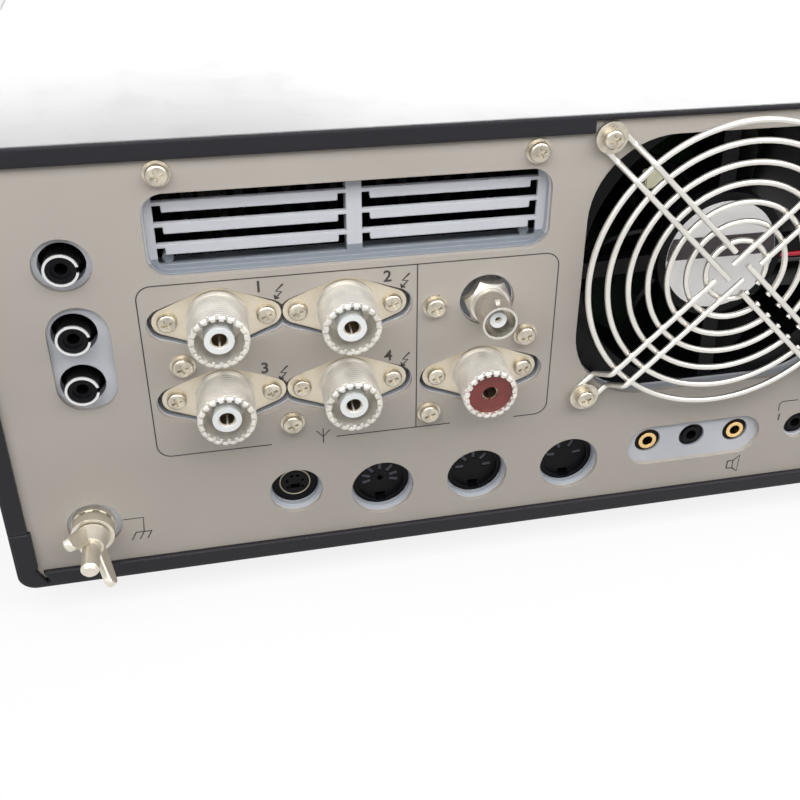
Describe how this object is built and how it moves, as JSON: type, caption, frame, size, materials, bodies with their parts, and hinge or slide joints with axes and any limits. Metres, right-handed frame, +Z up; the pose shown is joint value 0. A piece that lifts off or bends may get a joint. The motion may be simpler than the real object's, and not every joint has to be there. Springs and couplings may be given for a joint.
{
  "type": "hf transceiver",
  "caption": "Desktop short-wave radio transceiver: folded metal case, cast and skinned rear wall of sockets with a guarded fan, and a front of dials, knobs and a meter.",
  "frame": {"origin": "on the surface that the feet stand on, under the middle of the whole set's outline", "axes": "+X to the right as seen from the front, along the width; the front panel faces -Y and the socket wall +Y; +Z up"},
  "size_m": [0.462, 0.4334, 0.15],
  "materials": {
    "case_paint": "satin charcoal paint",
    "rear_paint": "fine textured warm grey paint",
    "cast_metal": "cast, plain",
    "frame_sheet": "plated sheet",
    "sink_metal": "black anodised",
    "front_plastic": "fine grained moulding",
    "dial_metal": "turned and anodised",
    "sub_dial_metal": "turned and anodised",
    "knob_plastic": "fine grained",
    "button_plastic": "satin",
    "power_button_plastic": "satin",
    "window_tint": "smoked clear",
    "display_plastic": "dark glass front",
    "meter_plastic": "printed scale",
    "needle_red": "red",
    "socket_nickel": "dull nickel",
    "bayonet_nickel": "bright nickel",
    "white_insulator": "waxy white",
    "brown_insulator": "red-brown moulding",
    "contact_metal": "silvered",
    "jack_collar": "bright tin plate",
    "jack_gilt": "gilt",
    "socket_black": "black moulding",
    "front_socket_metal": "satin plate",
    "terminal_metal": "nickelled brass",
    "screw_nickel": "bright nickel",
    "guard_wire": "bright nickel",
    "fan_plastic": "black moulding",
    "lead_red": "red sheath",
    "lead_black": "black sheath",
    "board_green": "lacquered board",
    "supply_case": "plain sheet",
    "speaker_metal": "black",
    "control_metal": "plated",
    "foot_rubber": "matt",
    "leg_plastic": "matt"
  },
  "bodies": {
    "case": {"antenna_socket_1": "socket_nickel", "antenna_socket_2": "socket_nickel", "antenna_socket_3": "socket_nickel", "antenna_socket_4": "socket_nickel", "bottom_cover": "case_paint", "chassis": "frame_sheet", "control_bushings": "control_metal", "din_socket_4": "socket_black", "din_socket_5": "socket_black", "din_socket_8": "socket_black", "display_module": "display_plastic", "display_window": "window_tint", "fan_frame": "fan_plastic", "fan_guard": "guard_wire", "fan_lead_black": "lead_black", "fan_lead_red": "lead_red", "feet": "foot_rubber", "front_board": "board_green", "front_panel": "front_plastic", "ground_terminal": "terminal_metal", "heat_sink": "sink_metal", "jack_rings": "jack_gilt", "main_board": "board_green", "mains_inlet": "socket_black", "meter_movement": "meter_plastic", "microphone_socket": "front_socket_metal", "mini_jacks": "socket_black", "phones_jack": "front_socket_metal", "phono_insulators": "socket_black", "phono_jacks": "jack_collar", "power_supply": "supply_case", "rear_casting": "cast_metal", "rear_panel": "rear_paint", "rear_screws": "screw_nickel", "receive_antenna_socket": "socket_nickel", "receive_insulator": "brown_insulator", "receive_output_socket": "bayonet_nickel", "rotator_socket": "socket_black", "socket_contacts": "contact_metal", "socket_insulators": "white_insulator", "speaker": "speaker_metal", "top_cover": "case_paint"},
    "fan_rotor": {"fan_rotor": "fan_plastic"},
    "wing_nut": {"wing_nut": "terminal_metal"},
    "tilt_leg_left": {"tilt_leg_left": "leg_plastic"},
    "tilt_leg_right": {"tilt_leg_right": "leg_plastic"},
    "mains_rocker": {"mains_rocker": "socket_black"},
    "fuse_drawer": {"fuse_drawer": "socket_black"},
    "meter_needle": {"meter_needle": "needle_red"},
    "main_dial": {"main_dial": "dial_metal"},
    "sub_dial": {"sub_dial": "sub_dial_metal"},
    "volume_knob": {"volume_knob": "knob_plastic"},
    "squelch_knob": {"squelch_knob": "knob_plastic"},
    "filter_knob": {"filter_knob": "knob_plastic"},
    "drive_knob": {"drive_knob": "knob_plastic"},
    "power_button": {"power_button": "power_button_plastic"},
    "mode_button": {"mode_button": "button_plastic"},
    "band_down_button": {"band_down_button": "button_plastic"},
    "band_up_button": {"band_up_button": "button_plastic"},
    "lock_button": {"lock_button": "button_plastic"}
  },
  "joints": [
    {"name": "fan_spin", "type": "hinge", "parent": "case", "child": "fan_rotor", "pos_m": [0.0185, 0.18675, 0.1024], "axis": [0, 1, 0], "continuous": true},
    {"name": "wing_nut_turn", "type": "hinge", "parent": "case", "child": "wing_nut", "pos_m": [0.2076, 0.20475, 0.0337], "axis": [0, 1, 0], "continuous": true},
    {"name": "tilt_leg_left_fold", "type": "hinge", "parent": "case", "child": "tilt_leg_left", "pos_m": [-0.188, -0.14775, 0.0065], "axis": [-1, 0, 0], "range_deg": [0, 95]},
    {"name": "tilt_leg_right_fold", "type": "hinge", "parent": "case", "child": "tilt_leg_right", "pos_m": [0.188, -0.14775, 0.0065], "axis": [-1, 0, 0], "range_deg": [0, 95]},
    {"name": "mains_rocker_tip", "type": "hinge", "parent": "case", "child": "mains_rocker", "pos_m": [-0.1842, 0.19275, 0.1123], "axis": [1, 0, 0], "range_deg": [0, 20]},
    {"name": "fuse_drawer_slide", "type": "slide", "parent": "case", "child": "fuse_drawer", "axis": [0, 1, 0], "range_m": [0, 0.012]},
    {"name": "meter_needle_swing", "type": "hinge", "parent": "case", "child": "meter_needle", "pos_m": [-0.093, -0.18275, 0.103], "axis": [0, 1, 0], "range_deg": [0, 84], "stiffness_Nm_per_rad": 0.0005},
    {"name": "main_dial_turn", "type": "hinge", "parent": "case", "child": "main_dial", "pos_m": [-0.008, -0.19075, 0.0565], "axis": [0, 1, 0], "continuous": true},
    {"name": "sub_dial_turn", "type": "hinge", "parent": "case", "child": "sub_dial", "pos_m": [0.128, -0.19075, 0.0565], "axis": [0, 1, 0], "continuous": true},
    {"name": "volume_knob_turn", "type": "hinge", "parent": "case", "child": "volume_knob", "pos_m": [-0.16, -0.19075, 0.074], "axis": [0, 1, 0], "range_deg": [-150, 150]},
    {"name": "squelch_knob_turn", "type": "hinge", "parent": "case", "child": "squelch_knob", "pos_m": [-0.16, -0.19075, 0.041], "axis": [0, 1, 0], "range_deg": [-150, 150]},
    {"name": "filter_knob_turn", "type": "hinge", "parent": "case", "child": "filter_knob", "pos_m": [0.198, -0.19075, 0.116], "axis": [0, 1, 0], "range_deg": [-150, 150]},
    {"name": "drive_knob_turn", "type": "hinge", "parent": "case", "child": "drive_knob", "pos_m": [0.198, -0.19075, 0.074], "axis": [0, 1, 0], "range_deg": [-150, 150]},
    {"name": "power_button_press", "type": "slide", "parent": "case", "child": "power_button", "axis": [0, 1, 0], "range_m": [0, 0.002], "stiffness_N_per_m": 400},
    {"name": "mode_button_press", "type": "slide", "parent": "case", "child": "mode_button", "axis": [0, 1, 0], "range_m": [0, 0.0016], "stiffness_N_per_m": 400},
    {"name": "band_down_button_press", "type": "slide", "parent": "case", "child": "band_down_button", "axis": [0, 1, 0], "range_m": [0, 0.0016], "stiffness_N_per_m": 400},
    {"name": "band_up_button_press", "type": "slide", "parent": "case", "child": "band_up_button", "axis": [0, 1, 0], "range_m": [0, 0.0016], "stiffness_N_per_m": 400},
    {"name": "lock_button_press", "type": "slide", "parent": "case", "child": "lock_button", "axis": [0, 1, 0], "range_m": [0, 0.0016], "stiffness_N_per_m": 400}
  ]
}
